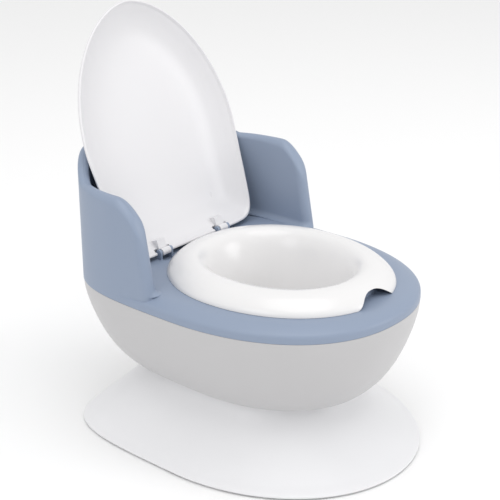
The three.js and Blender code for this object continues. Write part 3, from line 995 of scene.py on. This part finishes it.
class CHAIR_OT_pads(bpy.types.Operator):
    """Four rubber pads under the foot, each with a groove in its sole"""

    bl_idname = "chair.pads"
    bl_label = "Foot pads"

    def execute(self, context):
        groove = context.scene.chair_sizes.pad_groove
        for node in sorted(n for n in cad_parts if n.startswith("foot_pad_")):
            low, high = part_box(node)
            centre = (low + high) / 2
            radius = (high.x - low.x) / 2
            pad = rod("rubber_" + node, radius, high.z - low.z, centre, 64)
            in_edit_mode(pad)
            sole = Vector((centre.x, centre.y, 0))
            # Each step draws the sole's middle face in by a share of the radius, then moves it up or down.
            for share, depth in ((0.28, 0.0), (0.02, groove), (0.16, 0.0), (0.02, -groove)):
                inset = share * radius
                mesh = bmesh.from_edit_mesh(pad.data)
                middle = min(mesh.faces, key=lambda f: (f.calc_center_median() - sole).length)
                for face in mesh.faces:
                    face.select = face == middle
                mesh.select_flush(False)
                for face in mesh.faces:
                    face.select = face == middle
                bmesh.update_edit_mesh(pad.data)
                bpy.ops.mesh.inset(thickness=max(inset, 1e-7))
                bpy.ops.transform.translate(value=(0, 0, depth))
            bpy.ops.object.mode_set(mode="OBJECT")
            soften(pad, 0.35 * MM, 2)
            hand_over(pad, "base", [node], rubber_finish(context))
        return {"FINISHED"}


# ---- Stage -------------------------------------------------------------------------------------

CAMERA_AZIMUTH = math.radians(-50.0)
CAMERA_ELEVATION = math.radians(21.66)
CAMERA_DISTANCE = 1.3
CAMERA_AIM = Vector((-9.44, 1.99, 207.51)) * MM
CAMERA_LENS = 86.4
FLOOR_RADIUS = 12.0
WORLD_LIGHT = 0.86
# Name, place and size in metres, and power in watts of each round area light.
LIGHTS = [
    ("overhead", (-0.3, -0.5, 2.6), 2.0, 18),
    ("front", (1.5, -2.4, 1.3), 1.4, 14),
    ("left", (-2.4, -0.1, 2.0), 1.4, 8),
]


def add_light(name, place, aim, size, watts):
    deselect_all()
    bpy.ops.object.light_add(type="AREA", location=place)
    light = bpy.context.object
    light.name = name
    light.data.shape = "DISK"
    light.data.size = size
    light.data.energy = watts
    light.rotation_euler = (Vector(aim) - Vector(place)).to_track_quat("-Z", "Y").to_euler()
    return light


class CHAIR_OT_stage(bpy.types.Operator):
    """Pale floor, soft studio light and the camera"""

    bl_idname = "chair.stage"
    bl_label = "Stage"

    def execute(self, context):
        scene = context.scene
        deselect_all()
        bpy.ops.mesh.primitive_circle_add(vertices=96, radius=FLOOR_RADIUS, fill_type="NGON")
        floor = context.object
        floor.name = "floor"
        paper = new_material("white_paper_floor")
        shader = add_node(
            paper,
            "ShaderNodeBsdfPrincipled",
            {"Base Color": (*linear("#F7F7F7"), 1), "Roughness": 0.9, "Specular IOR Level": 0.1},
        )
        add_node(paper, "ShaderNodeOutputMaterial", {}, {"Surface": shader.outputs["BSDF"]})
        floor.data.materials.append(paper)

        world = bpy.data.worlds.new("soft_studio")
        world.use_nodes = True
        background = world.node_tree.nodes["Background"]
        background.inputs["Color"].default_value = (*linear("#FFFFFF"), 1)
        background.inputs["Strength"].default_value = WORLD_LIGHT
        scene.world = world
        centre = (CAD_BOX[0] + CAD_BOX[1]) / 2
        for name, place, size, watts in LIGHTS:
            add_light(name, place, centre, size, watts)

        back = Vector(
            (
                math.sin(CAMERA_AZIMUTH) * math.cos(CAMERA_ELEVATION),
                -math.cos(CAMERA_AZIMUTH) * math.cos(CAMERA_ELEVATION),
                math.sin(CAMERA_ELEVATION),
            )
        )
        deselect_all()
        bpy.ops.object.camera_add(location=CAMERA_AIM + back * CAMERA_DISTANCE)
        camera = context.object
        camera.rotation_euler = (-back).to_track_quat("-Z", "Y").to_euler()
        camera.data.sensor_width = 36
        camera.data.lens = CAMERA_LENS
        camera.data.clip_end = 60
        scene.camera = camera
        scene.view_settings.view_transform = "Standard"
        return {"FINISHED"}


class CHAIR_PT_panel(bpy.types.Panel):
    bl_label = "Potty chair"
    bl_idname = "CHAIR_PT_panel"
    bl_space_type = "VIEW_3D"
    bl_region_type = "UI"
    bl_category = "Potty chair"

    def draw(self, context):
        layout = self.layout
        for group in (context.scene.chair_sizes, context.scene.chair_colours):
            for name in group.bl_rna.properties.keys():
                if name not in ("rna_type", "name"):
                    layout.prop(group, name)
        for operator in OPERATORS:
            layout.operator(operator.bl_idname)


OPERATORS = [
    CHAIR_OT_stage, CHAIR_OT_foot, CHAIR_OT_bowl, CHAIR_OT_housing, CHAIR_OT_potty, CHAIR_OT_lid,
    CHAIR_OT_hinge_pins, CHAIR_OT_screws, CHAIR_OT_pads,
]
CLASSES = [ChairSizes, ChairColours, *OPERATORS, CHAIR_PT_panel]


def register():
    for cls in CLASSES:
        bpy.utils.register_class(cls)
    bpy.types.Scene.chair_sizes = PointerProperty(type=ChairSizes)
    bpy.types.Scene.chair_colours = PointerProperty(type=ChairColours)


def unregister():
    del bpy.types.Scene.chair_colours
    del bpy.types.Scene.chair_sizes
    for cls in reversed(CLASSES):
        bpy.utils.unregister_class(cls)


def main():
    register()
    for operator in OPERATORS:
        getattr(bpy.ops.chair, operator.bl_idname.split(".")[1])()


if __name__ == "__main__":
    main()
